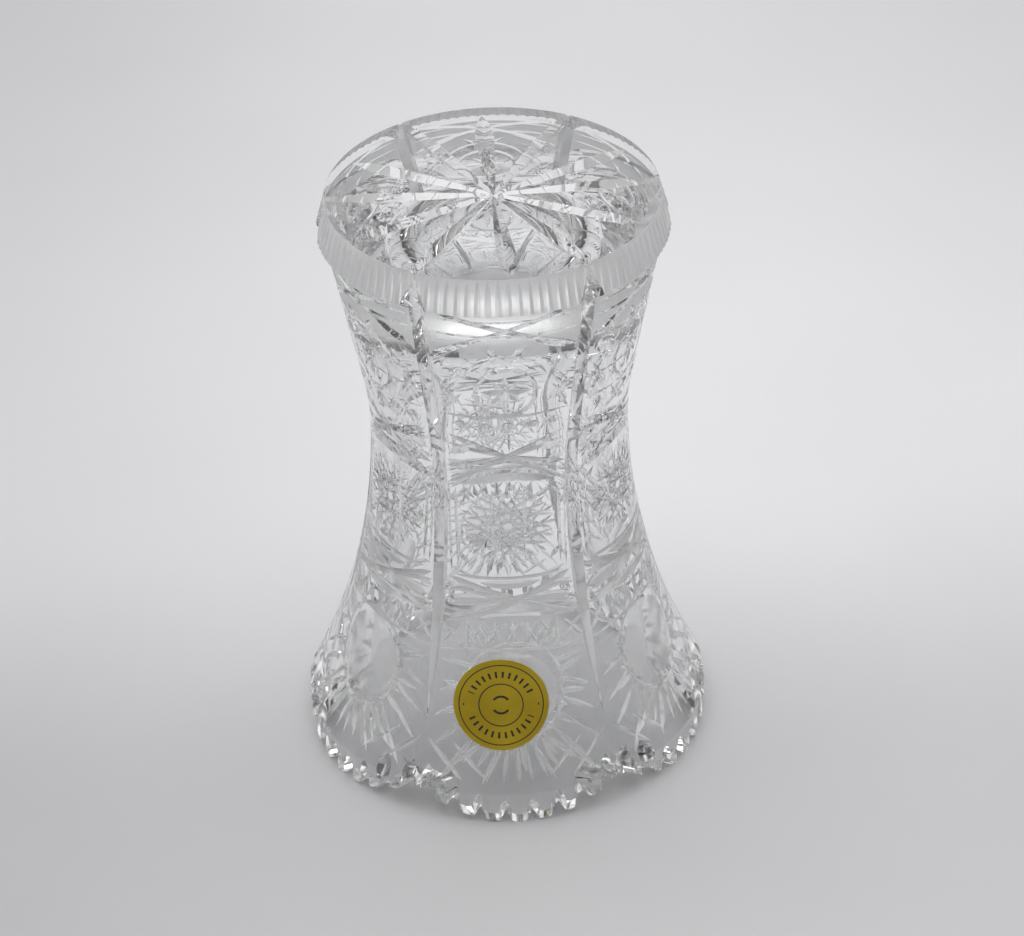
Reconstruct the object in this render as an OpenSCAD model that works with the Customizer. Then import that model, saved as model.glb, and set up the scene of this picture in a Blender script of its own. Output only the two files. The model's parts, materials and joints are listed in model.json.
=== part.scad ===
// Cut crystal vase, resting upside down on its sawtooth rim.
// Z = 0 is the plane of the rim's lowest teeth. The star-cut foot faces +Z at the top.
// The middle of one panel faces -Y, and that panel carries the round foil label.
// Panels are cut with one of them facing +X, and the finished body is then turned to face it to -Y.

/* [Form] */
// Height from the lowest teeth of the rim to the flat face of the foot
vase_h = 130; // [126:1:136]
// Outer radius of the rim
rim_r = 43.2; // [42:0.2:45]
// Outer radius at the waist, the narrowest place
waist_r = 27.2; // [26.6:0.2:28.4]
// Height of the waist above the rim's lowest teeth
waist_z = 76; // [73:1:79]
// Radius of the concave arc from the waist down to the rim
flare_arc = 155; // [145:1:165]
// Radius of the short concave arc just above the waist
shoulder_arc = 60; // [50:1:70]
// Slope of the straight wall above that arc, in degrees from upright
shoulder_slope = 11; // [10:0.5:12]

/* [Foot] */
// Height of the slanted reeded band around the foot
band_h = 7.5; // [6:0.5:9]
// How far the band's lower edge stands out from the wall under it
band_overhang = 1.7; // [1.2:0.1:2.2]
// How far the band leans in towards the foot's flat face
band_lean = 2; // [1.4:0.2:2.4]
// Number of reeds in each of the six stretches of the band
reeds_per_panel = 18; // [12:1:21]
// Depth of the cuts between reeds
reed_depth = 0.45; // [0.3:0.05:0.6]
// Solid glass between the hollow's floor and the foot's flat face
foot_t = 15; // [13:1:18]

/* [Hollow] */
// Wall thickness at the rim
rim_t = 4.6; // [4.2:0.2:5.2]
// Wall thickness at the waist
waist_t = 6; // [5.4:0.2:7]
// Radius of the rounded corner around the hollow's floor
floor_corner = 15; // [8:1:17]

/* [Cutting] */
// Depth of the six upright grooves between the panels
groove_depth = 1.6; // [1.2:0.1:2]
// Height where the grooves run out above the rim
groove_low = 20; // [18:1:26]
// Width across the widest part of a star ray on the foot
ray_w = 4.4; // [3.4:0.2:5]
// Diameter of the round lens cut into each panel near the rim
lens_d = 18; // [14:1:20]
// Depth of that lens
lens_depth = 1.6; // [1.5:0.1:2]
// Height of the lens's middle above the rim's lowest teeth
lens_z = 28; // [26:1:32]

/* [Rim] */
// Rise of the rim's outline from the middle of a scallop to the cusps beside it
cusp_rise = 7; // [5:0.5:8]
// Teeth in each scallop, counting the one at each cusp as half
teeth_per_scallop = 8; // [6:2:10]
// Height of an ordinary notch between two teeth
notch_h = 3.4; // [2.6:0.1:4.4]
// Extra height of the two deep notches in each scallop
deep_notch_extra = 1.8; // [1:0.1:2.4]

/* [Label] */
// Diameter of the round foil label
label_d = 20; // [16:1:24]
// Thickness of the foil
foil_t = 0.2; // [0.15:0.05:0.3]
// Thickness of the adhesive layer under the foil
adhesive_t = 0.15; // [0.1:0.05:0.2]
// Height of the label's middle above the rim's lowest teeth
label_z = 25.5; // [22:0.5:32]
// Turn of the label about the vase's axis from the middle of its panel, in degrees
label_turn = -5; // [-10:1:10]

/* [Hidden] */

$fn = 144;
panels = 6;
panel_angle = 360 / panels;
groove_angle = panel_angle / 2;
// Direction that the panel with the label faces, in degrees from +X
front = -90;
// How far cutting tools reach past the glass
overshoot = 5;
// Overlap of straight cuts that meet at an angle
lap = 1;
// Height between the points that make up a curved outline
arc_step = 5;

// Outer outline: where the short shoulder arc ends and the straight wall starts
shoulder_z = waist_z + shoulder_arc * sin(shoulder_slope);
shoulder_r = waist_r + shoulder_arc * (1 - cos(shoulder_slope));
ledge_drop = 1.1;
band_z = vase_h - band_h;
ledge_z = band_z - ledge_drop;
neck_r = shoulder_r + (ledge_z - shoulder_z) * tan(shoulder_slope);
band_r = neck_r + band_overhang;
foot_r = band_r - band_lean;

function concave_r(narrow_r, arc, z) = narrow_r + arc - sqrt(arc * arc - (z - waist_z) * (z - waist_z));
function outer_r(z) =
    z <= waist_z ? min(rim_r, concave_r(waist_r, flare_arc, z)) :
    z <= shoulder_z ? concave_r(waist_r, shoulder_arc, z) :
    shoulder_r + (z - shoulder_z) * tan(shoulder_slope);

// Hollow: one concave arc through the rim's inner edge and the waist
hollow_waist_r = waist_r - waist_t;
hollow_rim_r = rim_r - rim_t;
hollow_flare = hollow_rim_r - hollow_waist_r;
hollow_arc = (waist_z * waist_z + hollow_flare * hollow_flare) / (2 * hollow_flare);
floor_z = vase_h - foot_t;
corner_z = floor_z - floor_corner;
corner_r = concave_r(hollow_waist_r, hollow_arc, corner_z) - floor_corner;

// Where the flare arc meets the upright stretch of wall at the rim
flare_z = waist_z - sqrt(flare_arc * flare_arc - pow(flare_arc - (rim_r - waist_r), 2));

// Scallops: each panel's outline along the rim is an arc, seen from straight outside it
half_chord = rim_r * sin(groove_angle);
scallop_arc = (half_chord * half_chord + cusp_rise * cusp_rise) / (2 * cusp_rise);
tooth_angle = panel_angle / teeth_per_scallop;

// Wheel whose cut is as wide as it is tall: the wall falls away sideways and rises up and down
half_lens = lens_d / 2;
side_fall = half_lens * half_lens / (2 * outer_r(lens_z));
end_rise = half_lens * half_lens / (2 * flare_arc);
wheel_r = half_lens * half_lens / (2 * (lens_depth - side_fall));
wheel_edge = half_lens * half_lens / (2 * (lens_depth + end_rise));

// Heights where the straight cuts that make up one curved groove meet
groove_cuts = 6;
groove_stations = [for (i = [0 : groove_cuts]) groove_low + (shoulder_z - groove_low) * i / groove_cuts];

// Heights spaced evenly between two values, with both ends in the list
function heights(low, high) =
    let (n = ceil((high - low) / arc_step))
    [for (i = [0 : n]) low + (high - low) * i / n];

// The wall's outline from one height to another, pushed outward by a distance
function wall_points(low, high, push) = [for (z = heights(low, high)) [outer_r(z) + push, z]];

// Each panel's rim cut reaches this far past the cusp, into its neighbour's
cusp_lap = 0.6;

// Height of the scalloped outline at a distance sideways from the panel's middle
function scallop_z(t) = scallop_arc - sqrt(scallop_arc * scallop_arc - t * t);

// Outside of the vase. It starts below Z = 0, because the scallops cut its lower end.
module outer_solid() {
    spare = 1;
    // Height skipped above the waist, so that its point is listed only once
    skip = 1;
    rotate_extrude()
        polygon(concat(
            [[0, -spare], [rim_r, -spare]],
            wall_points(flare_z, waist_z, 0),
            wall_points(waist_z + skip, shoulder_z, 0),
            [[neck_r, ledge_z], [band_r, band_z], [foot_r, vase_h], [0, vase_h]]
        ));
}

module hollow() {
    corner_steps = 9;
    rotate_extrude()
        polygon(concat(
            [[0, -overshoot], [hollow_rim_r, -overshoot]],
            [for (z = heights(0, corner_z)) [concave_r(hollow_waist_r, hollow_arc, z), z]],
            [for (i = [1 : corner_steps])
                let (a = 90 * i / corner_steps)
                [corner_r + floor_corner * cos(a), corner_z + floor_corner * sin(a)]],
            [[0, floor_z]]
        ));
}

// A square bar's cross-section with one corner at the origin, pointing to -X
module v_section(size) {
    polygon([[0, 0], [size, size], [2 * size, 0], [size, -size]]);
}

// One straight V cut along the wall between two heights, as deep at its lower end as low_depth says
module groove_cut(low, high, low_depth) {
    size = groove_depth + overshoot;
    low_r = outer_r(low) - low_depth;
    high_r = outer_r(high) - groove_depth;
    lean = atan((high_r - low_r) / (high - low));
    length = (high - low) / cos(lean) + lap;
    translate([low_r, 0, low])
        rotate([0, lean, 0])
            translate([0, 0, -lap / 2])
                linear_extrude(length)
                    v_section(size);
}

// Upright V groove that deepens above the rim and goes on to the foot, where it notches the reeded band
module panel_groove() {
    for (i = [0 : groove_cuts - 1])
        groove_cut(groove_stations[i], groove_stations[i + 1], i == 0 ? 0 : groove_depth);
    groove_cut(shoulder_z, vase_h + overshoot, groove_depth);
}

// Tapered V ray on the foot's flat face, shallow at the centre and deep at its outer end
module foot_ray(length, width) {
    centre_w = 0.8;
    fall = atan((width - centre_w) / 2 / length);
    translate([0, 0, vase_h - centre_w / 2])
        rotate([0, 90 + fall, 0])
            translate([0, 0, -lap])
                linear_extrude(length / cos(fall) + lap)
                    rotate(180)
                        v_section(width);
}

// Long rays run out through the band into the grooves, and short ones stop at a plain margin
module star() {
    plain_margin = 1.2;
    for (i = [0 : panels - 1]) {
        rotate([0, 0, panel_angle * i]) {
            foot_ray(foot_r - plain_margin, ray_w);
            rotate([0, 0, groove_angle])
                foot_ray(band_r + lap, ray_w);
        }
    }
}

// Fine upright V cuts that leave the rounded-off reeds of the band between them
module reed_cuts() {
    pitch = panel_angle / reeds_per_panel;
    lean = atan(band_lean / band_h);
    size = reed_depth + lap;
    length = band_h / cos(lean) + lap;
    for (i = [0 : panels * reeds_per_panel - 1])
        rotate([0, 0, groove_angle + pitch * (i + 0.5)])
            translate([band_r, 0, band_z])
                rotate([0, -lean, 0])
                    translate([-reed_depth, 0, -lap / 2])
                        linear_extrude(length)
                            v_section(size);
}

// One point of a scallop's sawtooth outline: even steps are teeth and odd ones are notches
function tooth_point(step) =
    let (
        at_cusp = abs(step) == teeth_per_scallop,
        deep = abs(step) == teeth_per_scallop - 3,
        t = at_cusp ? sign(step) * (half_chord + cusp_lap) : rim_r * sin(tooth_angle * step / 2),
        rise = step % 2 == 0 ? 0 : deep ? notch_h + deep_notch_extra : notch_h
    )
    [t, scallop_z(t) + rise];

// Everything below the sawtooth outline of one panel, which points to +X
module rim_cut() {
    outline = [for (step = [-teeth_per_scallop : teeth_per_scallop]) tooth_point(step)];
    rotate([90, 0, 90])
        linear_extrude(rim_r + overshoot)
            polygon(concat(
                [[outline[0].x, -overshoot]],
                outline,
                [[outline[len(outline) - 1].x, -overshoot]]
            ));
}

// Round lens ground into the middle of a panel that points to +X, by a wheel with a rounded edge
module lens_cut() {
    wall_lean = asin((waist_z - lens_z) / flare_arc);
    translate([outer_r(lens_z), 0, lens_z])
        rotate([0, -wall_lean, 0])
            translate([wheel_r - lens_depth, 0, 0])
                rotate_extrude()
                    intersection() {
                        translate([wheel_r - wheel_edge, 0])
                            circle(r = wheel_edge);
                        translate([0, -lens_d])
                            square([wheel_r, 2 * lens_d]);
                    }
}

module crystal_body() {
    color([0.86, 0.89, 0.9, 0.5])
        rotate([0, 0, front])
            difference() {
                outer_solid();
                hollow();
                star();
                reed_cuts();
                for (i = [0 : panels - 1])
                    rotate([0, 0, panel_angle * i]) {
                        rim_cut();
                        lens_cut();
                        rotate([0, 0, groove_angle])
                            panel_groove();
                    }
            }
}

// Round piece of a thin skin that lies on the wall between two distances from it
module wall_disc(diameter, inside, outside) {
    low = label_z - diameter;
    high = label_z + diameter;
    wall_lean = asin((waist_z - label_z) / flare_arc);
    rotate([0, 0, front + label_turn])
        intersection() {
            rotate_extrude()
                polygon(concat(
                    [[outer_r(low) + inside, low]],
                    wall_points(low, high, outside),
                    [for (z = heights(low, high)) let (v = low + high - z) [outer_r(v) + inside, v]]
                ));
            translate([outer_r(label_z), 0, label_z])
                rotate([0, 90 - wall_lean, 0])
                    translate([0, 0, -diameter / 2])
                        cylinder(h = diameter, d = diameter);
        }
}

module label_adhesive() {
    foil_margin = 0.2;
    color([0.93, 0.9, 0.78])
        wall_disc(label_d - 2 * foil_margin, 0, adhesive_t);
}

module foil_label() {
    color([0.72, 0.62, 0.12])
        wall_disc(label_d, adhesive_t, adhesive_t + foil_t);
}

crystal_body();
label_adhesive();
foil_label();
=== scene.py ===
"""Looks of the cut crystal vase: polished glass with wheel-cut panels, a reeded foot and a foil label."""

import json
import math
import random

import bmesh
import bpy
from mathutils import Matrix, Vector

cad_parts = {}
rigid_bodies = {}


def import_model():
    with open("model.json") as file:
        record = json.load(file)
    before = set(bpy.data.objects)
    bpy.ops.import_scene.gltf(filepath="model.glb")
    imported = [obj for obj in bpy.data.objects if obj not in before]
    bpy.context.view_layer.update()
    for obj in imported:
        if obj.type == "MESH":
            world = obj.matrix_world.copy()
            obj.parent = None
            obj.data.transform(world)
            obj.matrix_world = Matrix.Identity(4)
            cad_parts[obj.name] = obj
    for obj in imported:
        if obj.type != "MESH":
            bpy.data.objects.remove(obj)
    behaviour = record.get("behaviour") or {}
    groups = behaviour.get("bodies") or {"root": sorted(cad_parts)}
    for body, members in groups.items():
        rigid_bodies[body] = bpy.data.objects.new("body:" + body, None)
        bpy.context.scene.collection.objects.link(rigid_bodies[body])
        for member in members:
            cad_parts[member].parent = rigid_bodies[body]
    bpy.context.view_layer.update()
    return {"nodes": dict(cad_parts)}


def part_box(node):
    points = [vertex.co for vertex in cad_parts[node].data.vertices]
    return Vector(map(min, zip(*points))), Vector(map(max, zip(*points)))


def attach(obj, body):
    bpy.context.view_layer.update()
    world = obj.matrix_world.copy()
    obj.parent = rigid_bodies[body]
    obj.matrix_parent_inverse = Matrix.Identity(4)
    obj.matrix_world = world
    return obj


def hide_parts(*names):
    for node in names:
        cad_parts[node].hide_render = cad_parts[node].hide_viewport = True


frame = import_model()
_, body_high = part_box("crystal_body")
foil_low, foil_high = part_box("foil_label")

# ---------------------------------------------------------------- sizes, in millimetres
MM = 0.001
PANELS = 6
PANEL_TURN = math.tau / PANELS
FRONT = -math.pi / 2            # the panel with the label faces -Y

VASE_H = body_high.z / MM
RIM_R = 43.2
WAIST_R = 27.2
WAIST_Z = 76.0
FLARE_ARC = 155.0
SHOULDER_ARC = 60.0
SHOULDER_SLOPE = math.radians(11)
BAND_H = 7.5
BAND_OVERHANG = 1.7
BAND_LEAN = 2.0
LEDGE_DROP = 1.1
FOOT_T = 15.0
HOLLOW_RIM_R = 38.6
HOLLOW_WAIST_R = 21.2
FLOOR_CORNER = 15.0

SHOULDER_Z = WAIST_Z + SHOULDER_ARC * math.sin(SHOULDER_SLOPE)
SHOULDER_R = WAIST_R + SHOULDER_ARC * (1 - math.cos(SHOULDER_SLOPE))
BAND_Z = VASE_H - BAND_H
LEDGE_Z = BAND_Z - LEDGE_DROP
NECK_R = SHOULDER_R + (LEDGE_Z - SHOULDER_Z) * math.tan(SHOULDER_SLOPE)
BAND_R = NECK_R + BAND_OVERHANG
FOOT_R = BAND_R - BAND_LEAN
FLARE_Z = WAIST_Z - math.sqrt(FLARE_ARC ** 2 - (FLARE_ARC - (RIM_R - WAIST_R)) ** 2)
HOLLOW_ARC = (WAIST_Z ** 2 + (HOLLOW_RIM_R - HOLLOW_WAIST_R) ** 2) / (2 * (HOLLOW_RIM_R - HOLLOW_WAIST_R))
FLOOR_Z = VASE_H - FOOT_T

SEED = 11
LATHE_STEPS = 180
WALL_STEP = 2.6                 # height between the blank's rings on its curved wall
STROKE_STEP = 2.8               # length of the straight pieces that make up a curved cut
HOLLOW_STEP = 4                 # the same in the hollow, where only the rim is cut
SHOULDER_STEP = 6               # and between the shoulder and the ledge
CORNER_STEP = math.radians(11)
FLOOR_RING = 0.5                # shares of a flat face's radius where it gets an extra ring
FOOT_RINGS = (0.66, 0.33)
BELOW_RIM = -1.0                # the blank reaches down to here, and the scallops cut it back


def concave_r(narrow_r, arc, z):
    return narrow_r + arc - math.sqrt(arc * arc - (z - WAIST_Z) ** 2)


def outer_r(z):
    """Radius of the uncut outer wall at a height."""
    if z <= WAIST_Z:
        return min(RIM_R, concave_r(WAIST_R, FLARE_ARC, max(z, 0)))
    if z <= SHOULDER_Z:
        return concave_r(WAIST_R, SHOULDER_ARC, z)
    return SHOULDER_R + (z - SHOULDER_Z) * math.tan(SHOULDER_SLOPE)


def wall_point(t, z, turn):
    """Point on the wall t mm sideways along it from the direction turn, and its outward normal."""
    r = outer_r(z)
    angle = turn + t / r
    slope = (outer_r(z + 0.1) - outer_r(z - 0.1)) / 0.2
    out = Vector((math.cos(angle), math.sin(angle), 0))
    return out * r + Vector((0, 0, z)), (out - Vector((0, 0, slope))).normalized()


def spaced(low, high, step):
    n = max(1, math.ceil(abs(high - low) / step))
    return [low + (high - low) * i / n for i in range(n + 1)]


def object_of(name, mesh_builder, collection=None):
    """A new object whose mesh is built in millimetres by a function and then scaled to metres."""
    bm = bmesh.new()
    mesh_builder(bm)
    bmesh.ops.recalc_face_normals(bm, faces=bm.faces)
    bmesh.ops.scale(bm, vec=(MM, MM, MM), verts=bm.verts)
    mesh = bpy.data.meshes.new(name)
    bm.to_mesh(mesh)
    bm.free()
    made = bpy.data.objects.new(name, mesh)
    (collection or bpy.context.scene.collection).objects.link(made)
    return made


# ---------------------------------------------------------------- glass blank
def blank_profile():
    """(radius, height) down the inside from the hollow's floor, and up the outside to the foot's face."""
    corner_z = FLOOR_Z - FLOOR_CORNER
    corner_r = concave_r(HOLLOW_WAIST_R, HOLLOW_ARC, corner_z) - FLOOR_CORNER
    inside = [(corner_r * FLOOR_RING, FLOOR_Z)]
    inside += [(corner_r + FLOOR_CORNER * math.cos(a), corner_z + FLOOR_CORNER * math.sin(a))
               for a in spaced(math.pi / 2, 0, CORNER_STEP)]
    inside += [(concave_r(HOLLOW_WAIST_R, HOLLOW_ARC, z), z) for z in spaced(corner_z, 0, HOLLOW_STEP)[1:]]
    inside.append((HOLLOW_RIM_R, BELOW_RIM))
    outside = [(RIM_R, BELOW_RIM)]
    outside += [(outer_r(z), z) for z in spaced(FLARE_Z, WAIST_Z, WALL_STEP)]
    outside += [(outer_r(z), z) for z in spaced(WAIST_Z, SHOULDER_Z, WALL_STEP)[1:]]
    outside += [(outer_r(z), z) for z in spaced(SHOULDER_Z, LEDGE_Z, SHOULDER_STEP)[1:]]
    outside += [(BAND_R, BAND_Z), (FOOT_R, VASE_H)]
    outside += [(FOOT_R * share, VASE_H) for share in FOOT_RINGS]
    return inside, outside


def build_blank(bm):
    inside, outside = blank_profile()
    profile = inside + outside
    rings = [[bm.verts.new((r * math.cos(a), r * math.sin(a), z))
              for a in (math.tau * i / LATHE_STEPS for i in range(LATHE_STEPS))] for r, z in profile]
    for lower, upper in zip(rings, rings[1:]):
        for i in range(LATHE_STEPS):
            j = (i + 1) % LATHE_STEPS
            bm.faces.new((lower[i], lower[j], upper[j], upper[i]))
    for ring, z in ((rings[0], FLOOR_Z), (rings[-1], VASE_H)):
        middle = bm.verts.new((0, 0, z))
        for i in range(LATHE_STEPS):
            bm.faces.new((ring[i], ring[(i + 1) % LATHE_STEPS], middle))


# ---------------------------------------------------------------- wheel cuts
cuts = bpy.data.collections.new("cuts")
bpy.context.scene.collection.children.link(cuts)
rng = random.Random(SEED)


def sweep(bm, stations, closed=False):
    """A V-shaped bar through stations, each of them (valley, left edge, right edge)."""
    rings = [[bm.verts.new(p) for p in station] for station in stations]
    pairs = list(zip(rings, rings[1:])) + ([(rings[-1], rings[0])] if closed else [])
    for a, b in pairs:
        for i in range(3):
            j = (i + 1) % 3
            bm.faces.new((a[i], a[j], b[j], b[i]))
    if not closed:
        bm.faces.new(rings[0])
        bm.faces.new(rings[-1])


def v_stations(points, normals, depths, half_angle, margin, closed=False):
    """Cross-sections of a V cut along points on a surface, with its valley at those depths under it."""
    stations = []
    last = len(points) - 1
    for i, (p, n, d) in enumerate(zip(points, normals, depths)):
        after = points[(i + 1) % len(points)] if closed else points[min(i + 1, last)]
        before = points[i - 1] if closed else points[max(i - 1, 0)]
        side = (after - before).cross(n).normalized()
        width = (d + margin) * math.tan(half_angle)
        stations.append((p - n * d, p + n * margin - side * width, p + n * margin + side * width))
    return stations


def resample(path, step):
    """The same path with points no further apart than step."""
    fine = [path[0]]
    for a, b in zip(path, path[1:]):
        n = max(1, math.ceil(math.dist(a, b) / step))
        fine += [(a[0] + (b[0] - a[0]) * i / n, a[1] + (b[1] - a[1]) * i / n) for i in range(1, n + 1)]
    return fine


def bend(a, b, bulge, n=6):
    """A shallow arc from a to b whose middle stands bulge mm to the left of the straight line."""
    dx, dz = b[0] - a[0], b[1] - a[1]
    length = math.hypot(dx, dz)
    points = []
    for i in range(n + 1):
        s = i / n
        off = bulge * 4 * s * (1 - s)
        points.append((a[0] + dx * s - dz / length * off, a[1] + dz * s + dx / length * off))
    return points


def end_taper(path, depth, taper, pointed):
    """Depth at each point of a path: full in the middle, and running out to nothing at each pointed end."""
    gone = [0.0]
    for a, b in zip(path, path[1:]):
        gone.append(gone[-1] + math.dist(a, b))
    depths = []
    for s in gone:
        share = 1.0
        if pointed[0]:
            share = min(share, s / taper)
        if pointed[1]:
            share = min(share, (gone[-1] - s) / taper)
        depths.append(depth * math.sin(math.pi / 2 * share) if share < 1 else depth)
    return depths


def stroke(name, path, depth=0.45, half_angle=52, taper=3.0, pointed=(True, True), margin=0.5,
           shift=0.18, swing=0.7, closed=False, step=STROKE_STEP):
    """The same wheel cut in all six panels, each one a little different, as hand work is.

    Its path is (mm sideways from the panel's middle, height). shift is in mm and swing in degrees.
    """
    half_angle = math.radians(half_angle)
    middle = (sum(p[0] for p in path) / len(path), sum(p[1] for p in path) / len(path))

    def build(bm):
        for panel in range(PANELS):
            swung = math.radians(rng.uniform(-swing, swing))
            dt, dz = rng.uniform(-shift, shift), rng.uniform(-shift, shift)
            moved = []
            for t, z in path:
                x, y = t - middle[0], z - middle[1]
                moved.append((middle[0] + x * math.cos(swung) - y * math.sin(swung) + dt,
                              middle[1] + x * math.sin(swung) + y * math.cos(swung) + dz))
            fine = resample(moved, step)
            cut = depth * rng.uniform(0.88, 1.12)
            length = sum(math.dist(a, b) for a, b in zip(fine, fine[1:]))
            depths = [cut] * len(fine) if closed else end_taper(fine, cut, min(taper, length / 2), pointed)
            placed = [wall_point(t, z, FRONT + PANEL_TURN * panel) for t, z in fine]
            if closed:
                placed, depths = placed[:-1], depths[:-1]
            points, normals = zip(*placed)
            sweep(bm, v_stations(points, normals, depths, half_angle, margin, closed), closed)

    return object_of(name, build, cuts)


def arc_path(radius_t, radius_z, middle_z, first, last, n):
    """Points along an ellipse around a place on the panel's middle line, between two angles."""
    angles = [first + (last - first) * i / n for i in range(n + 1)]
    return [(radius_t * math.cos(a), middle_z + radius_z * math.sin(a)) for a in angles]


def mirrored(name, path, **how):
    """A stroke and its mirror image on the other side of the panel."""
    stroke(name + "_l", path, **how)
    stroke(name + "_r", [(-t, z) for t, z in path], **how)


# Six upright grooves between the panels, which run out above the rim and notch the reeded band at the foot
GROOVE_LOW = 20
GROOVE_DEPTH = 1.6
GROOVE_RUN_OUT = 36             # height over which a groove deepens above its lower end
GROOVE_HALF_ANGLE = math.radians(46)


def groove_depth(z):
    return GROOVE_DEPTH * math.sin(math.pi / 2 * min(1, (z - GROOVE_LOW) / GROOVE_RUN_OUT))


def build_grooves(bm):
    for panel in range(PANELS):
        heights = spaced(GROOVE_LOW, SHOULDER_Z, STROKE_STEP) + [LEDGE_Z, VASE_H + 4]
        placed = [wall_point(0, z, FRONT + PANEL_TURN * (panel + 0.5)) for z in heights]
        depths = [groove_depth(z) for z in heights]
        points, normals = zip(*placed)
        sweep(bm, v_stations(points, normals, depths, GROOVE_HALF_ANGLE, margin=3))


object_of("grooves", build_grooves, cuts)

# Crisscross band under the ledge
for z, depth in ((119.8, 0.22), (116.2, 0.25)):
    stroke(f"ledge_line_{z:.0f}", bend((-16, z + 0.4), (16, z), -0.3), depth=depth, half_angle=50)
stroke("ledge_x_a", bend((-15.5, 111.2), (14.5, 121.9), 0.8), depth=0.5)
stroke("ledge_x_b", bend((-14.5, 121.9), (15.5, 111.2), 0.8), depth=0.5)
mirrored("ledge_oblique", [(4.5, 113.5), (1.0, 110.2)], depth=0.5, taper=1.6)
mirrored("ledge_lens", bend((6, 114.6), (13, 111), 0.4), depth=0.5, half_angle=58)

# Medallion with a small flower
medallion_z = 100.8
medallion = arc_path(6.2, 6.4, medallion_z, 0, math.tau, 22)
stroke("medallion", medallion, depth=0.42, closed=True, swing=0, step=9)
for i in range(4):
    a = math.pi * i / 4
    reach = 5.2 if i % 2 == 0 else 4.4
    stroke(f"flower_{i}", [(-reach * math.cos(a), medallion_z - reach * math.sin(a)),
                           (reach * math.cos(a), medallion_z + reach * math.sin(a))],
           depth=0.62, half_angle=55, taper=3.4)
arch = arc_path(9.2, 9.4, medallion_z + 0.5, math.radians(20), math.radians(160), 14)
stroke("medallion_arch", arch, depth=0.3, step=9)

# Crosshatch in the corners around the medallion
for i in range(4):
    rising = [(8.4 + 1.4 * i, 96.4 + 0.6 * i), (13.6, 103.8 - 2.1 * i)]
    falling = [(9.2 + 0.3 * i, 106.6 - 2.4 * i), (13.4, 101.6 - 2.6 * i)]
    mirrored(f"corner_up_{i}", rising, depth=0.34, taper=2)
    mirrored(f"corner_down_{i}", falling, depth=0.34, taper=2)
mirrored("corner_dash_a", [(11.4, 110), (13.2, 107)], depth=0.6, taper=1.4)
mirrored("corner_dash_b", [(8.4, 108.4), (10.6, 105.8)], depth=0.5, taper=1.4)

# Row of small diamonds
for i, t in enumerate((-9.4, -4.2, 0.4, 5.6, 10.2)):
    stroke(f"diamond_{i}", [(t - 1.5, 91.6), (t + 1.5, 91.6)],
           depth=0.75, half_angle=56, taper=1.5, step=1.2)
stroke("diamond_line", bend((-13.4, 94.4), (13.4, 94.4), -0.3), depth=0.24)
for i in range(5):
    t = -8.4 + 4.2 * i
    stroke(f"diamond_slant_{i}", [(t - 1.8, 88.6), (t + 1.6, 94)], depth=0.26, taper=1.5)
    stroke(f"diamond_back_{i}", [(t + 1.8, 88.6), (t - 1.6, 94)], depth=0.26, taper=1.5)

# Crisscross band at the waist, and the dark crescent under it
stroke("waist_x_a", bend((-12.4, 75.4), (12.2, 88.4), 0.9), depth=0.55)
stroke("waist_x_b", bend((-12.2, 88.4), (12.4, 75.4), 0.9), depth=0.55)
stroke("waist_x_c", bend((-12.6, 79.6), (12.6, 86.2), 0.3), depth=0.4)
stroke("waist_x_d", bend((-12.6, 86.2), (12.6, 79.6), 0.3), depth=0.4)
stroke("waist_line", bend((-12.6, 80), (12.6, 79.6), 0.2), depth=0.22)
mirrored("waist_lens", bend((4.6, 86.6), (12, 83.0), 0.4), depth=0.5, half_angle=66, taper=3)
mirrored("waist_lens_low", bend((6.4, 79.2), (12.4, 81.4), 0.3), depth=0.5, half_angle=66, taper=3)
stroke("crescent", bend((-10.2, 75.6), (10.2, 75.6), 2.7, 8), depth=0.7, half_angle=62, taper=6)

# Hobstar in a square field
star_z = 65.4


STAR_POINTS = 18
STAR_TURN = math.radians(10)


def around(middle_z, reach, angle):
    """(sideways, height) of a place at a distance and angle from a point on the panel's middle line."""
    return reach * math.cos(angle), middle_z + reach * math.sin(angle)


def chords(name, reach, points, skip, depth, first=0.0, taper=2.6):
    """Straight cuts that join points on a circle, so that their ends make the points of a star."""
    for i in range(points):
        a = math.tau * i / points + first
        b = math.tau * (i + skip) / points + first
        stroke(f"{name}_{i}", [around(star_z, reach, a), around(star_z, reach, b)],
               depth=depth, taper=taper, shift=0.12, swing=0.5)


chords("hobstar", 9.7, STAR_POINTS, 7, 0.28, first=STAR_TURN)
chords("hobstar_hub", 4.6, 12, 5, 0.2, taper=1.6)
for i in range(STAR_POINTS):
    a = math.tau * (i + 0.5) / STAR_POINTS + STAR_TURN
    stroke(f"hobstar_tip_{i}", [around(star_z, 7.4, a), around(star_z, 10.4, a)],
           depth=0.3, taper=1.5, shift=0.1, swing=0.5)
mirrored("field_side", [(10.9, 74.6), (10.9, 55.4)], depth=0.3, taper=2)
mirrored("field_side_b", [(12.3, 76), (12.3, 54)], depth=0.22, taper=2)
stroke("field_foot", bend((-11.6, 53.6), (11.6, 53.6), -0.2), depth=0.28)
mirrored("field_corner_a", [(8.2, 74.6), (11.2, 71.6)], depth=0.5, taper=1.5)
mirrored("field_corner_b", [(8.2, 56.4), (11.2, 59.4)], depth=0.5, taper=1.5)

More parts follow.
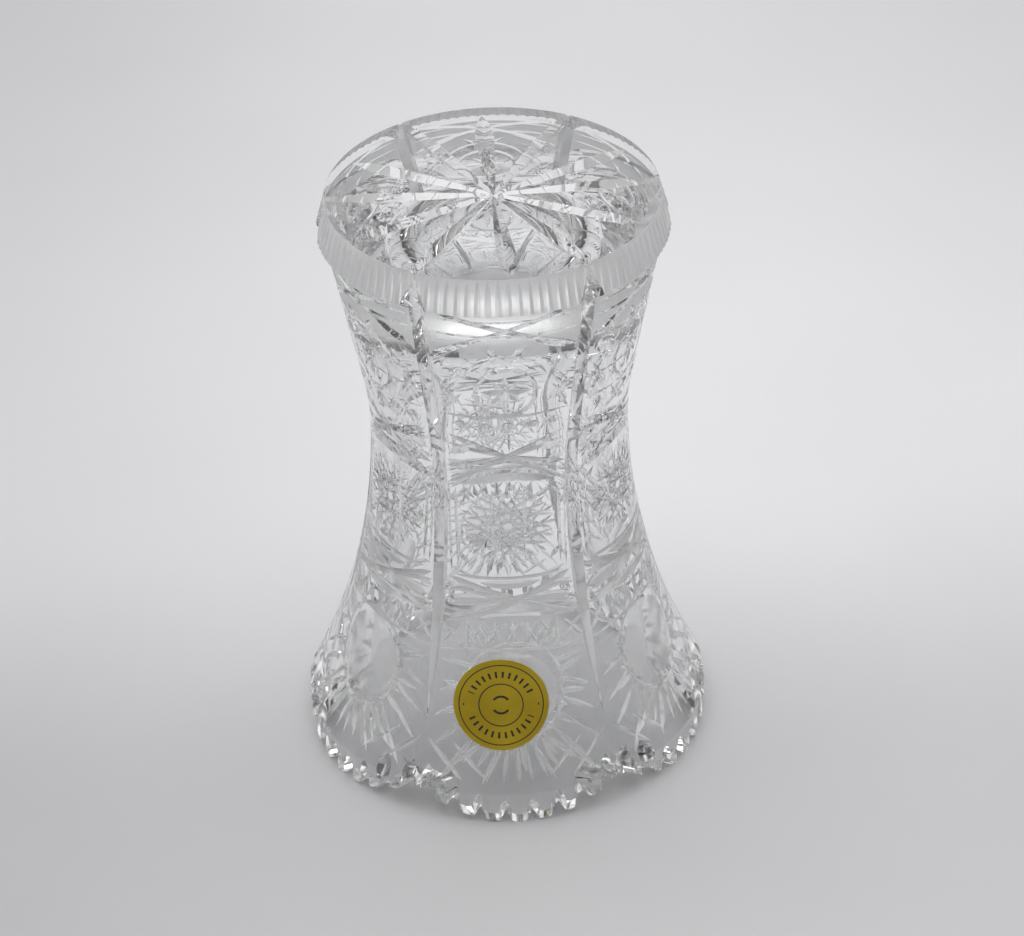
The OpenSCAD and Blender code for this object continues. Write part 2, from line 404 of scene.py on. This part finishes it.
# Crisscross band over the label
stroke("low_x_a", bend((-13.2, 53.0), (13.8, 43.0), 0.5), depth=0.6)
stroke("low_x_b", bend((-13.8, 43.0), (13.2, 53.0), -0.5), depth=0.6)
stroke("low_x_c", bend((-13.6, 46.2), (13.6, 51.0), -0.2), depth=0.36)
stroke("low_x_d", bend((-13.6, 51.0), (13.6, 46.2), 0.2), depth=0.36)
stroke("low_line_a", bend((-13.6, 48.9), (13.6, 48.9), -0.2), depth=0.22)
stroke("low_line_b", bend((-14, 45.4), (14, 45.4), -0.2), depth=0.26)
stroke("low_lens_top", bend((-6.5, 52.2), (6.5, 52.2), -0.4), depth=0.45, half_angle=66, taper=4)
stroke("low_lens_foot", bend((-7, 44.0), (7, 44.0), 0.5), depth=0.5, half_angle=68, taper=4)
mirrored("low_lens", bend((4.4, 48.6), (13.6, 47.4), 0.3), depth=0.5, half_angle=67, taper=4)
mirrored("low_lens_side", bend((7.6, 51.3), (14, 49.8), 0.2), depth=0.4, half_angle=66, taper=3)

# Fan strip between that band and the lens
fan_z = 33.5
for i in range(9):
    a = math.radians(90 + 15 * (i - 4))
    stroke(f"fan_{i}", [(10.4 * math.cos(a), fan_z + 3.6), (13.4 * math.cos(a), fan_z + 10.2 * math.sin(a))],
           depth=0.5, half_angle=54, taper=2.4)
for i in range(5):
    t = -8 + 4 * i
    stroke(f"fan_x_a{i}", [(t - 2, 37.4), (t + 2, 43.4)], depth=0.34, taper=1.8)
    stroke(f"fan_x_b{i}", [(t + 2, 37.4), (t - 2, 43.4)], depth=0.34, taper=1.8)
mirrored("fan_side", [(9.6, 43.8), (9.6, 35.6)], depth=0.32, taper=1.6)
mirrored("fan_wing", [(10.4, 37.2), (15.6, 42.6)], depth=0.4, taper=2)
mirrored("fan_wing_b", [(11, 42.8), (15.8, 37.4)], depth=0.4, taper=2)
stroke("fan_line_a", bend((-16, 44.2), (16, 44.2), -0.3), depth=0.26)
stroke("fan_line_b", bend((-16, 36.2), (16, 36.2), 1.2), depth=0.26)

# Round lens with rays around it
lens_z = 28.0
lens_reach = 9.0
lens_depth = 1.6


def build_lens(bm):
    side_fall = lens_reach ** 2 / (2 * outer_r(lens_z))
    end_rise = lens_reach ** 2 / (2 * FLARE_ARC)
    side_arc = lens_reach ** 2 / (2 * (lens_depth - side_fall))
    end_arc = lens_reach ** 2 / (2 * (lens_depth + end_rise))
    rings, segments, edge = 7, 44, lens_reach * 1.06
    circle = [(math.cos(a), math.sin(a)) for a in (math.tau * i / segments for i in range(segments))]
    clear_of_wall = 3
    for panel in range(PANELS):
        turn = FRONT + PANEL_TURN * panel
        centre, normal = wall_point(0, lens_z, turn)
        across = Vector((-math.sin(turn), math.cos(turn), 0))
        up = normal.cross(across)

        def vertex(x, y, out):
            return bm.verts.new(centre + across * x + up * y + normal * out)

        low, top = vertex(0, 0, -lens_depth), vertex(0, 0, clear_of_wall)
        loops = []
        for ring in range(1, rings + 1):
            reach = edge * ring / rings
            loop = []
            for c, s in circle:
                x, y = reach * c, reach * s
                loop.append(vertex(x, y, -lens_depth + x * x / (2 * side_arc) + y * y / (2 * end_arc)))
            loops.append(loop)
        loops.append([vertex(edge * c, edge * s, clear_of_wall) for c, s in circle])
        for i in range(segments):
            j = (i + 1) % segments
            bm.faces.new((low, loops[0][i], loops[0][j]))
            bm.faces.new((top, loops[-1][i], loops[-1][j]))
            for a, b in zip(loops, loops[1:]):
                bm.faces.new((a[i], a[j], b[j], b[i]))


object_of("lens", build_lens, cuts)

for i in range(28):
    a = math.tau * (i + 0.5) / 28
    far = 15.5 if i % 2 else 12.2
    if math.sin(a) > 0.4:
        far = 10.9
    if math.sin(a) < -0.75:
        far = 16.5 if i % 2 else 13
    stroke(f"burst_{i}", [around(lens_z, 9.2, a), around(lens_z, far, a)],
           depth=0.6, half_angle=50, taper=3.4, shift=0.15, swing=3)
ring = arc_path(10.4, 10.4, lens_z, 0, math.tau, 30)
stroke("lens_ring", ring, depth=0.3, half_angle=55, closed=True, swing=0, step=9)
for i, (t0, z0, t1, z1) in enumerate((
        (7.8, 20.2, 17.2, 9.6), (3.2, 17.4, 8.2, 9.2), (10.2, 22.6, 18.6, 15.6), (9.0, 26.4, 17.8, 21.6),
        (9.4, 30.2, 16.6, 27.2), (7.4, 33.6, 15.4, 34.4), (5.8, 18.6, 14.0, 12.4))):
    mirrored(f"ray_{i}", [(t0, z0), (t1, z1)], depth=0.5, half_angle=52, taper=5, swing=1.5)
for i in range(9):
    a = math.radians(-90 + 9 * (i - 4))
    stroke(f"rim_ray_{i}", [around(lens_z, 11.2, a), (20.5 * math.cos(a), lens_z + 18.6 * math.sin(a))],
           depth=0.32, half_angle=60, taper=7, swing=2)
mirrored("low_cross_a", [(12.0, 9.6), (19.4, 17.2)], depth=0.4, taper=3)
mirrored("low_cross_b", [(6.4, 9.8), (14.4, 17.6)], depth=0.36, taper=3)

# Rim: scalloped outline with wheel-cut teeth
CUSP_RISE = 7.0
TEETH = 8
TOOTH_TURN = PANEL_TURN / TEETH
HALF_CHORD = RIM_R * math.sin(PANEL_TURN / 2)
SCALLOP_ARC = (HALF_CHORD ** 2 + CUSP_RISE ** 2) / (2 * CUSP_RISE)


def scallop_z(t):
    return SCALLOP_ARC - math.sqrt(SCALLOP_ARC ** 2 - t * t)


# Half of a knuckle's rounded outline: (teeth from its middle, rise above the scallop).
# The notch at -0.5 joins a knuckle to the one before it.
KNUCKLE_SIDE = ((0.42, 1.15), (0.3, 0.45), (0.12, 0.0))
KNUCKLE = ((-0.5, 1.7), *((-t, rise) for t, rise in KNUCKLE_SIDE), *reversed(KNUCKLE_SIDE))
CUSP_LAP = 0.6                  # each panel's block reaches this far past the cusp
RIM_CUT_LOW = -4
RIM_CUT_REACH = (25, RIM_R + 6)


def build_rim_cut(first):
    """Everything below the knuckled outline of every second panel, as one block for each."""
    def build(bm):
        for panel in range(first, PANELS, 2):
            turn = FRONT + PANEL_TURN * panel
            out = Vector((math.cos(turn), math.sin(turn), 0))
            across = Vector((-math.sin(turn), math.cos(turn), 0))
            outline = []
            for tooth in range(-TEETH // 2, TEETH // 2 + 1):
                lift = rng.uniform(0.9, 1.15)
                for place, rise in KNUCKLE:
                    turned = TOOTH_TURN * (tooth + place)
                    if abs(turned) < PANEL_TURN / 2:
                        t = RIM_R * math.sin(turned)
                        outline.append((t, scallop_z(t) + rise * lift))
            side = HALF_CHORD + CUSP_LAP
            outline = [(-side, RIM_CUT_LOW), (-side, scallop_z(side)), *outline,
                       (side, scallop_z(side)), (side, RIM_CUT_LOW)]
            loops = [[bm.verts.new(across * t + out * reach + Vector((0, 0, z))) for t, z in outline]
                     for reach in RIM_CUT_REACH]
            n = len(outline)
            for i in range(n):
                j = (i + 1) % n
                bm.faces.new((loops[0][i], loops[0][j], loops[1][j], loops[1][i]))
            for loop in loops:
                bm.faces.new(loop)

    return build


for first in range(2):
    object_of(f"rim_cut_{first}", build_rim_cut(first), cuts)

# Wheel-cut flutes up the outside from each notch: (teeth from the panel's middle, height of the tip, depth)
FLUTES = ((0.5, 6.2, 2.5), (1.5, 7.4, 2.5), (2.5, 11.2, 3.1), (3.5, 11.8, 2.5))
for k, apex, depth in FLUTES:
    t = RIM_R * TOOTH_TURN * k
    mirrored(f"flute_{k:.0f}", [(t, apex), (t, RIM_CUT_LOW)], depth=depth, half_angle=31, taper=2.6,
             pointed=(True, False), margin=1.4, shift=0.25, swing=2, step=1.0)


# Reeded band
REEDS_PER_PANEL = 18
REED_STATIONS = ((-0.06, 0.34), (0.3, 0.34), (0.75, 0.26), (0.98, -0.02))   # (share of the way up, depth)


def build_reeds(bm):
    for i in range(REEDS_PER_PANEL * PANELS):
        a = FRONT + PANEL_TURN / 2 + math.tau * (i + 0.5) / (REEDS_PER_PANEL * PANELS)
        a += math.radians(rng.uniform(-0.2, 0.2))
        out = Vector((math.cos(a), math.sin(a), 0))
        normal = (out * BAND_H + Vector((0, 0, BAND_LEAN))).normalized()
        foot_end, low_end = out * FOOT_R + Vector((0, 0, VASE_H)), out * BAND_R + Vector((0, 0, BAND_Z))
        run = foot_end - low_end
        points = [low_end + run * share for share, depth in REED_STATIONS]
        depths = [depth for share, depth in REED_STATIONS]
        sweep(bm, v_stations(points, [normal] * len(points), depths, math.radians(64), margin=0.1))


object_of("reeds", build_reeds, cuts)

# Star on the foot's flat face. It was cut by eye, so its centre and rays are a little off the even spacing.
STAR_CENTRE = Vector((0.1, -1.3, VASE_H))
RAY_LEANS = (3.0, 1.5, 3.5, 4.0, -2.0, 0.5, 1.0, -0.5, 1.0, -2.5, -3.0, -1.5)   # degrees
LONG_RAY = ((-1.0, 0.3), (5.0, 0.5), (14.0, 0.95), (24.0, 1.2), (31.0, 0.8), (40.0, 0.12))   # (reach, depth)
SHORT_RAY = ((-1.0, 0.3), (5.0, 0.5), (14.0, 0.9), (24.0, 1.25), (29.0, 0.9), (32.5, -0.02))


def build_ray(index):
    """Long rays run out through the band at the grooves, and short ones stop inside the foot's edge."""
    angle = FRONT + math.tau * index / len(RAY_LEANS) + math.radians(RAY_LEANS[index])
    out = Vector((math.cos(angle), math.sin(angle), 0))
    stations = LONG_RAY if index % 2 else SHORT_RAY

    def build(bm):
        points = [STAR_CENTRE + out * reach for reach, depth in stations]
        depths = [depth for reach, depth in stations]
        up = Vector((0, 0, 1))
        sweep(bm, v_stations(points, [up] * len(points), depths, math.radians(58), margin=0.6))

    return build


for index in range(len(RAY_LEANS)):
    object_of(f"star_ray_{index}", build_ray(index), cuts)


# ---------------------------------------------------------------- cutting the blank
def cut_glass():
    blank = object_of("crystal_glass", build_blank)
    cutter = blank.modifiers.new("wheel_cuts", "BOOLEAN")
    cutter.operation = "DIFFERENCE"
    cutter.operand_type = "COLLECTION"
    cutter.collection = cuts
    cutter.solver = "MANIFOLD"
    bpy.context.view_layer.update()
    cut = bpy.data.meshes.new_from_object(blank.evaluated_get(bpy.context.evaluated_depsgraph_get()))
    blank.modifiers.clear()
    old = blank.data
    blank.data = cut
    bpy.data.meshes.remove(old)
    for tool in list(cuts.objects):
        mesh = tool.data
        bpy.data.objects.remove(tool)
        bpy.data.meshes.remove(mesh)
    bpy.data.collections.remove(cuts)
    return blank


def keep_largest_shell(bm):
    """Drops any loose splinter of glass that the cuts left."""
    seen, shells = set(), []
    for start in bm.verts:
        if start in seen:
            continue
        seen.add(start)
        shell, queue = [], [start]
        while queue:
            vert = queue.pop()
            shell.append(vert)
            for edge in vert.link_edges:
                other = edge.other_vert(vert)
                if other not in seen:
                    seen.add(other)
                    queue.append(other)
        shells.append(shell)
    shells.sort(key=len)
    for shell in shells[:-1]:
        bmesh.ops.delete(bm, geom=shell, context="VERTS")


# ---------------------------------------------------------------- materials
def new_material(name):
    material = bpy.data.materials.new(name)
    material.use_nodes = True
    nodes, links = material.node_tree.nodes, material.node_tree.links
    return material, nodes, links, nodes["Principled BSDF"]


def noise(nodes, links, scale, detail=3.0):
    """Procedural noise in the object's own coordinates, in metres."""
    coords = nodes.new("ShaderNodeTexCoord")
    texture = nodes.new("ShaderNodeTexNoise")
    texture.inputs["Scale"].default_value = scale
    texture.inputs["Detail"].default_value = detail
    links.new(coords.outputs["Object"], texture.inputs["Vector"])
    return texture.outputs["Fac"]


def ranged(nodes, links, value, low, high):
    spread = nodes.new("ShaderNodeMapRange")
    spread.inputs["To Min"].default_value = low
    spread.inputs["To Max"].default_value = high
    links.new(value, spread.inputs["Value"])
    return spread.outputs["Result"]


def bump(nodes, links, height, strength, distance):
    made = nodes.new("ShaderNodeBump")
    made.inputs["Strength"].default_value = strength
    made.inputs["Distance"].default_value = distance
    links.new(height, made.inputs["Height"])
    return made.outputs["Normal"]


def mixed_colour(nodes, links, value, first, second):
    ramp = nodes.new("ShaderNodeValToRGB")
    ramp.color_ramp.elements[0].color = (*first, 1)
    ramp.color_ramp.elements[1].color = (*second, 1)
    ramp.color_ramp.elements[0].position = 0.35
    ramp.color_ramp.elements[1].position = 0.65
    links.new(value, ramp.inputs["Fac"])
    return ramp.outputs["Color"]


CRYSTAL_IOR = 1.545
GRAIN_HEIGHT = 0.0002            # metres


def crystal(name, rough_low, rough_high, bump_scale, bump_strength, clear=1.0):
    """Lead crystal, polished or ground. clear is the share of the light that isn't scattered white."""
    material, nodes, links, shader = new_material(name)
    shader.inputs["Transmission Weight"].default_value = clear
    shader.inputs["IOR"].default_value = CRYSTAL_IOR
    shader.inputs["Base Color"].default_value = (0.985, 0.99, 0.99, 1)
    roughness = ranged(nodes, links, noise(nodes, links, 90), rough_low, rough_high)
    links.new(roughness, shader.inputs["Roughness"])
    grain = bump(nodes, links, noise(nodes, links, bump_scale, 4), bump_strength, GRAIN_HEIGHT)
    links.new(grain, shader.inputs["Normal"])
    return material


finishes = [
    crystal("crystal_polished", 0.0, 0.03, 70, 0.1),
    crystal("crystal_wheel_cut", 0.01, 0.1, 500, 0.2, clear=0.95),
    crystal("crystal_satin", 0.32, 0.5, 900, 0.4, clear=0.84),
    crystal("crystal_lens", 0.14, 0.3, 420, 0.7, clear=0.8),
    crystal("crystal_engraved", 0.12, 0.3, 600, 0.3, clear=0.72),
]

POLISHED, WHEEL_CUT, SATIN, LENS, ENGRAVED = range(len(finishes))
ENGRAVED_Z = 55.0                # strokes below this, down to the teeth, are left whiter
LEDGE_BAND_Z = 111.5             # the wall is ground satin from here up to the ledge
FACE_SKIN = 0.03                 # what is this near the foot's face, the wall or the hollow counts as uncut
WALL_SKIN = 0.045
HOLLOW_SKIN = 0.12
FLOOR_SKIN = 0.1
REED_SKIN = 0.6                  # the reeded band is satin this far in
TEETH_H = 6                      # strokes lower than this above the scallops aren't whitened
STROKE_SKIN = 1.3                # no engraved stroke is deeper than this
LENS_EDGE = 0.2                  # width of the lens's edge that isn't given its finish


def surface_kind(middle):
    """Which finish a face has, from where its middle lies against the uncut blank."""
    r = math.hypot(middle.x, middle.y)
    if middle.z > VASE_H - FACE_SKIN:
        return POLISHED
    if middle.z > BAND_Z:
        band_r = BAND_R - BAND_LEAN * (middle.z - BAND_Z) / BAND_H
        return SATIN if r > band_r - REED_SKIN else POLISHED
    if abs(r - outer_r(middle.z)) < WALL_SKIN:
        return SATIN if LEDGE_BAND_Z < middle.z < LEDGE_Z else POLISHED
    if middle.z < FLOOR_Z + FLOOR_SKIN and r < concave_r(HOLLOW_WAIST_R, HOLLOW_ARC, middle.z) + HOLLOW_SKIN:
        return POLISHED
    turned = (math.atan2(middle.y, middle.x) - FRONT + PANEL_TURN / 2) % PANEL_TURN - PANEL_TURN / 2
    across = r * math.sin(turned)
    if math.hypot(across, middle.z - lens_z) < lens_reach - LENS_EDGE:
        return LENS
    if scallop_z(across) + TEETH_H < middle.z < ENGRAVED_Z and outer_r(middle.z) - r < STROKE_SKIN:
        return ENGRAVED
    return WHEEL_CUT


def finish_glass(glass):
    """Cleans the cut mesh and gives each face its finish."""
    same_place = 2e-6
    bm = bmesh.new()
    bm.from_mesh(glass.data)
    bmesh.ops.remove_doubles(bm, verts=bm.verts, dist=same_place)
    bmesh.ops.dissolve_degenerate(bm, edges=bm.edges, dist=same_place)
    keep_largest_shell(bm)
    for face in bm.faces:
        face.smooth = True
        face.material_index = surface_kind(face.calc_center_median() / MM)
    # The finishes have to be on the mesh before its faces are, or the faces' slot numbers shift
    glass.data.materials.clear()
    for finish in finishes:
        glass.data.materials.append(finish)
    bm.to_mesh(glass.data)
    bm.free()
    glass.data.set_sharp_from_angle(angle=math.radians(19))


glass = cut_glass()
finish_glass(glass)

# ---------------------------------------------------------------- foil label
LABEL_R = 10.0
LABEL_MIDDLE = (foil_low + foil_high) / 2 / MM
LABEL_Z = LABEL_MIDDLE.z
LABEL_TURN = math.atan2(LABEL_MIDDLE.y, LABEL_MIDDLE.x)
FOIL_IN, FOIL_OUT = 0.15, 0.35


def label_point(x, y, push):
    """Point of the label's disc, x and y mm from its middle, laid on the wall."""
    lean = math.asin((WAIST_Z - LABEL_Z) / FLARE_ARC)
    middle_r = outer_r(LABEL_Z)
    z = LABEL_Z + y * math.cos(lean)
    for _ in range(6):
        radial = math.sqrt(outer_r(z) ** 2 - x * x)
        z -= ((z - LABEL_Z) * math.cos(lean) + (middle_r - radial) * math.sin(lean) - y) * math.cos(lean)
    r = outer_r(z)
    angle = LABEL_TURN + math.asin(x / r)
    return Vector(((r + push) * math.cos(angle), (r + push) * math.sin(angle), z))


def ink_at(share, angle):
    """Whether the label's print is here: two rings, bars and dots between them, and arcs in the middle."""
    if 0.868 < share < 0.892 or 0.45 < share < 0.475:
        return True
    degrees = math.degrees(angle) % 360
    from_side = min(abs((degrees - side + 180) % 360 - 180) for side in (0, 180))
    if 0.60 < share < 0.74:
        return from_side > 22 and degrees % 12 < 4.5
    if 0.16 < share < 0.21:
        return from_side > 35
    return 0.77 < share < 0.80 and from_side < 3


# Shares of the label's radius where a ring of faces starts, so that each edge of the print has one
FOIL_SHARES = (0.07, 0.16, 0.21, 0.34, 0.45, 0.475, 0.53, 0.60, 0.67, 0.74, 0.77, 0.80, 0.868, 0.892, 0.95,
               0.99, 1.0)
FOIL_EDGE_DROP = 0.05


def build_foil(bm):
    segments = 180
    angles = [math.tau * i / segments for i in range(segments)]

    def ring(share, push):
        return [bm.verts.new(label_point(LABEL_R * share * math.cos(a), LABEL_R * share * math.sin(a), push))
                for a in angles]

    outer = [ring(share, FOIL_OUT) for share in FOIL_SHARES[:-1]] + [ring(1.0, FOIL_OUT - FOIL_EDGE_DROP)]
    inner = ring(1.0, FOIL_IN)
    top, low = bm.verts.new(label_point(0, 0, FOIL_OUT)), bm.verts.new(label_point(0, 0, FOIL_IN))
    for i in range(segments):
        j = (i + 1) % segments
        angle = math.tau * (i + 0.5) / segments
        bm.faces.new((top, outer[0][i], outer[0][j]))
        bm.faces.new((low, inner[i], inner[j]))
        bm.faces.new((outer[-1][i], outer[-1][j], inner[j], inner[i]))
        for k, (a, b) in enumerate(zip(outer, outer[1:])):
            face = bm.faces.new((a[i], a[j], b[j], b[i]))
            if ink_at((FOIL_SHARES[k] + FOIL_SHARES[k + 1]) / 2, angle):
                face.material_index = 1
    for face in bm.faces:
        face.smooth = True


foil = object_of("foil_disc", build_foil)
foil.data.set_sharp_from_angle(angle=math.radians(40))


# ---------------------------------------------------------------- label materials
def foil_material():
    material, nodes, links, shader = new_material("gold_foil")
    shader.inputs["Metallic"].default_value = 0.3
    fine = noise(nodes, links, 900, 5)
    broad = noise(nodes, links, 110, 3)
    gold = mixed_colour(nodes, links, broad, (0.44, 0.31, 0.006), (0.54, 0.385, 0.012))
    links.new(gold, shader.inputs["Base Color"])
    links.new(ranged(nodes, links, fine, 0.34, 0.55), shader.inputs["Roughness"])
    links.new(bump(nodes, links, fine, 0.25, 0.00005), shader.inputs["Normal"])
    return material


def ink_material():
    material, nodes, links, shader = new_material("label_ink")
    black = mixed_colour(nodes, links, noise(nodes, links, 1500), (0.012, 0.011, 0.008), (0.03, 0.027, 0.02))
    links.new(black, shader.inputs["Base Color"])
    links.new(ranged(nodes, links, noise(nodes, links, 700), 0.4, 0.6), shader.inputs["Roughness"])
    return material


def adhesive_material():
    material, nodes, links, shader = new_material("pale_adhesive")
    pale = mixed_colour(nodes, links, noise(nodes, links, 400, 4), (0.72, 0.68, 0.52), (0.82, 0.79, 0.66))
    links.new(pale, shader.inputs["Base Color"])
    links.new(ranged(nodes, links, noise(nodes, links, 900), 0.55, 0.75), shader.inputs["Roughness"])
    links.new(bump(nodes, links, noise(nodes, links, 1200), 0.3, 0.00005), shader.inputs["Normal"])
    return material


foil.data.materials.append(foil_material())
foil.data.materials.append(ink_material())
adhesive = frame["nodes"]["label_adhesive"]
adhesive.data.materials.clear()
adhesive.data.materials.append(adhesive_material())

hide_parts("crystal_body")
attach(glass, "root")
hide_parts("foil_label")
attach(foil, "root")


# ---------------------------------------------------------------- floor, light and camera
# Painted shade: the soft falling-off of the light over the floor, painted into the floor's colour: (axis,
# dimmest at, full at, how dim), in metres
FLOOR_PAINTED_SHADE = (
    ("Y", -0.03, 0.085, 0.76),
    ("Y", 0.34, 0.10, 0.86),
    ("X", -0.15, 0.02, 0.80),
    ("X", 0.16, 0.04, 0.93),
)


def floor_material():
    """Pale card with painted shade that dims its colour towards all four sides, where the light falls off.
    """
    material, nodes, links, shader = new_material("pale_card_painted_shade")
    coords = nodes.new("ShaderNodeTexCoord")
    split = nodes.new("ShaderNodeSeparateXYZ")
    links.new(coords.outputs["Object"], split.inputs["Vector"])
    colour = mixed_colour(nodes, links, noise(nodes, links, 14), (0.80, 0.795, 0.81), (0.82, 0.815, 0.83))
    # each step scales the card's colour down: painted shade where the light falls off, not the card's own
    # tone
    for axis, dim_at, full_at, dim in FLOOR_PAINTED_SHADE:
        fall = nodes.new("ShaderNodeMapRange")
        fall.interpolation_type = "SMOOTHSTEP"
        fall.inputs["From Min"].default_value = dim_at
        fall.inputs["From Max"].default_value = full_at
        fall.inputs["To Min"].default_value = dim
        fall.inputs["To Max"].default_value = 1.0
        links.new(split.outputs[axis], fall.inputs["Value"])
        shade = nodes.new("ShaderNodeVectorMath")
        shade.operation = "SCALE"
        links.new(colour, shade.inputs[0])
        links.new(fall.outputs["Result"], shade.inputs["Scale"])
        colour = shade.outputs["Vector"]
    links.new(colour, shader.inputs["Base Color"])
    links.new(ranged(nodes, links, noise(nodes, links, 300), 0.75, 0.9), shader.inputs["Roughness"])
    return material


def build_floor(bm):
    bmesh.ops.create_circle(bm, cap_ends=True, segments=96, radius=9000)


floor = object_of("floor", build_floor)
floor.data.materials.append(floor_material())

# Colour of the studio around the vase, from the horizon (0) to straight up (1)
SKY = (
    (0.0, (0.03, 0.03, 0.031)),
    (0.3, (0.12, 0.12, 0.1212)),
    (0.6, (0.42, 0.42, 0.4242)),
    (0.78, (0.85, 0.85, 0.8585)),
    (0.9, (1.0, 1.0, 1.0)),
)
SKY_STRENGTH = 1.18
SEEN_SKY = (0.42, 0.42, 0.425)


def build_world():
    """Light from a white ceiling. The camera itself sees plain grey past the floor's edge."""
    world = bpy.data.worlds.new("studio")
    bpy.context.scene.world = world
    world.use_nodes = True
    nodes, links = world.node_tree.nodes, world.node_tree.links
    coords = nodes.new("ShaderNodeTexCoord")
    split = nodes.new("ShaderNodeSeparateXYZ")
    links.new(coords.outputs["Generated"], split.inputs["Vector"])
    sky = nodes.new("ShaderNodeValToRGB")
    stops = sky.color_ramp.elements
    stops.remove(stops[1])
    for height, colour in SKY:
        stop = stops[0] if height == 0 else stops.new(height)
        stop.color = (*colour, 1)
    links.new(split.outputs["Z"], sky.inputs["Fac"])
    seen = nodes.new("ShaderNodeLightPath")
    choose = nodes.new("ShaderNodeMix")
    choose.data_type = "RGBA"
    factor, first, second = choose.inputs[0], choose.inputs[6], choose.inputs[7]
    links.new(seen.outputs["Is Camera Ray"], factor)
    links.new(sky.outputs["Color"], first)
    second.default_value = (*SEEN_SKY, 1)
    background = nodes["Background"]
    links.new(choose.outputs[2], background.inputs["Color"])
    background.inputs["Strength"].default_value = SKY_STRENGTH


build_world()


def area_light(name, place, aim, size, power):
    data = bpy.data.lights.new(name, "AREA")
    data.shape = "DISK"
    data.size = size
    data.energy = power
    lamp = bpy.data.objects.new(name, data)
    lamp.location = place
    lamp.rotation_euler = (Vector(aim) - Vector(place)).to_track_quat("-Z", "Y").to_euler()
    bpy.context.scene.collection.objects.link(lamp)


area_light("overhead", place=(-0.1, 0.32, 1.3), aim=(0, 0.03, 0.03), size=1.2, power=5.4)

AIM = Vector((0, 0, 0.065))
DISTANCE = 1.0
ELEVATION = math.radians(33.85)
AZIMUTH = FRONT + math.radians(-2.5)
ROLL = math.radians(-1.73)
camera_data = bpy.data.cameras.new("camera")
camera_data.sensor_width = 36
camera_data.lens = 165.6
camera_data.shift_x = 0.0114
camera_data.shift_y = -0.0128
camera_data.clip_end = 50
camera = bpy.data.objects.new("camera", camera_data)
level = math.cos(ELEVATION)
away = Vector((math.cos(AZIMUTH) * level, math.sin(AZIMUTH) * level, math.sin(ELEVATION)))
look = (-away).to_track_quat("-Z", "Y").to_matrix().to_4x4()
camera.matrix_world = Matrix.Translation(AIM + away * DISTANCE) @ look @ Matrix.Rotation(ROLL, 4, "Z")
bpy.context.scene.collection.objects.link(camera)
bpy.context.scene.camera = camera

scene = bpy.context.scene
scene.view_settings.view_transform = "Standard"
scene.view_settings.exposure = 0.0
scene.cycles.max_bounces = 24
scene.cycles.transmission_bounces = 20
scene.cycles.glossy_bounces = 8
scene.cycles.diffuse_bounces = 4
scene.cycles.sample_clamp_indirect = 10
scene.cycles.blur_glossy = 0.3
